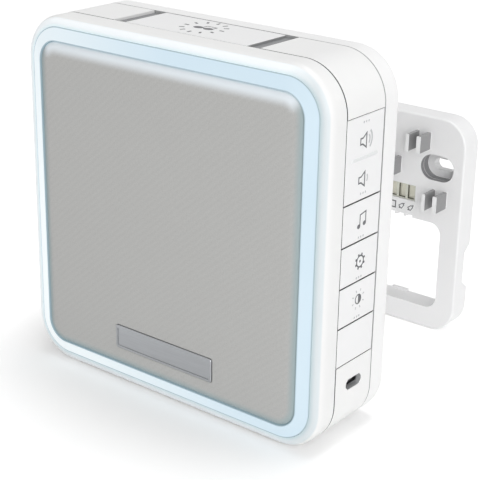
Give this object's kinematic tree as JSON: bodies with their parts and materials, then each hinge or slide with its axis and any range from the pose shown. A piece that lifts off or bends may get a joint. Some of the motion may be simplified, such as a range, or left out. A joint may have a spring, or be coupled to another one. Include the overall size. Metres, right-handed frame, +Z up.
{
  "type": "doorbell chime",
  "caption": "Square doorbell chime box with a light ring, side keys, speaker and battery bay, and the wall plate it hangs on.",
  "frame": {"origin": "the face that box and wall plate stand on, in the middle of the width, half way between the two seams of the box", "axes": "+X to the key side, on the right as seen from the front, +Y to the back, towards the wall, +Z up"},
  "size_m": [0.1283, 0.1224, 0.128],
  "materials": {
    "white_front": "fine satin, tinted by the lit ring next to it",
    "light_ring": "milky diffuser, lit pale blue",
    "grille_panel": "fine grey weave over a stiff panel",
    "badge": "brushed, with a bright bevelled rim",
    "inner_plastic": "moulded",
    "circuit_board": "green solder mask",
    "lamp": "small lamp packages",
    "white_band": "fine satin",
    "dark_strip": "smooth dark insert",
    "top_key": "fine satin with one printed symbol",
    "switch_plunger": "moulded",
    "switch_body": "moulded",
    "steel": "zinc plated",
    "volume_rocker": "fine satin with printed symbols and a raised rib",
    "melody_key": "fine satin with a printed symbol",
    "settings_key": "fine satin with a printed symbol",
    "brightness_key": "fine satin with a printed symbol",
    "blank_panel": "fine satin, bare",
    "inlet_metal": "tinned sheet",
    "dark_plastic": "moulded",
    "foam": "closed cell foam",
    "magnet": "ferrite with a steel cup",
    "cone": "pressed paper",
    "surround": "soft rubber",
    "white_cover": "fine satin",
    "gold_contact": "thin gold plate",
    "battery_wrap": "plain printed wrap, no lettering",
    "battery_door": "fine satin",
    "white_plate": "fine satin",
    "terminal_housing": "moulded"
  },
  "bodies": {
    "chime_box": {"front_bezel": "white_front", "light_ring": "light_ring", "grille_panel": "grille_panel", "badge_plate": "badge", "grille_carrier": "inner_plastic", "lamp_boards": "circuit_board", "lamps": "lamp", "middle_band": "white_band", "strip_inserts": "dark_strip", "top_board": "circuit_board", "top_switch": "switch_body", "top_board_screws": "steel", "rocker_axle": "steel", "rocker_plungers": "switch_plunger", "blank_panel": "blank_panel", "side_board": "circuit_board", "key_switches": "switch_body", "side_board_screws": "steel", "usb_shell": "inlet_metal", "usb_tongue": "dark_plastic", "speaker_gasket": "foam", "speaker_frame": "dark_plastic", "speaker_magnet": "magnet", "speaker_cone": "cone", "speaker_surround": "surround", "speaker_screws": "steel", "back_cover": "white_cover", "housing_screws": "steel", "main_board": "circuit_board", "main_board_screws": "steel", "radio_shield": "inlet_metal", "board_parts": "dark_plastic", "pin_holder": "dark_plastic", "contact_pins": "gold_contact", "battery_cells": "battery_wrap", "battery_contacts": "steel"},
    "volume_rocker": {"volume_rocker": "volume_rocker"},
    "melody_key": {"melody_key": "melody_key", "melody_plunger": "switch_plunger"},
    "settings_key": {"settings_key": "settings_key", "settings_plunger": "switch_plunger"},
    "brightness_key": {"brightness_key": "brightness_key", "brightness_plunger": "switch_plunger"},
    "top_key": {"top_key": "top_key", "top_plunger": "switch_plunger"},
    "battery_door": {"battery_door": "battery_door"},
    "wall_plate": {"wall_plate": "white_plate", "terminal_block": "terminal_housing", "terminal_blades": "gold_contact"}
  },
  "joints": [
    {"name": "volume_rocker_tilt", "type": "hinge", "parent": "chime_box", "child": "volume_rocker", "pos_m": [0.06, 0, 0.0978], "axis": [0, 1, 0], "range_deg": [-2, 2], "stiffness_Nm_per_rad": 0.5},
    {"name": "melody_press", "type": "slide", "parent": "chime_box", "child": "melody_key", "axis": [-1, 0, 0], "range_m": [0, 0.0005], "stiffness_N_per_m": 400},
    {"name": "settings_press", "type": "slide", "parent": "chime_box", "child": "settings_key", "axis": [-1, 0, 0], "range_m": [0, 0.0005], "stiffness_N_per_m": 400},
    {"name": "brightness_press", "type": "slide", "parent": "chime_box", "child": "brightness_key", "axis": [-1, 0, 0], "range_m": [0, 0.0005], "stiffness_N_per_m": 400},
    {"name": "top_press", "type": "slide", "parent": "chime_box", "child": "top_key", "axis": [0, 0, -1], "range_m": [0, 0.0005], "stiffness_N_per_m": 400},
    {"name": "battery_door_lift", "type": "slide", "parent": "chime_box", "child": "battery_door", "axis": [0, 1, 0], "range_m": [0, 0.03]},
    {"name": "wall_plate_dock", "type": "slide", "parent": "chime_box", "child": "wall_plate", "axis": [0, -0.9973, 0.0733], "range_m": [0, 0.08182]}
  ]
}
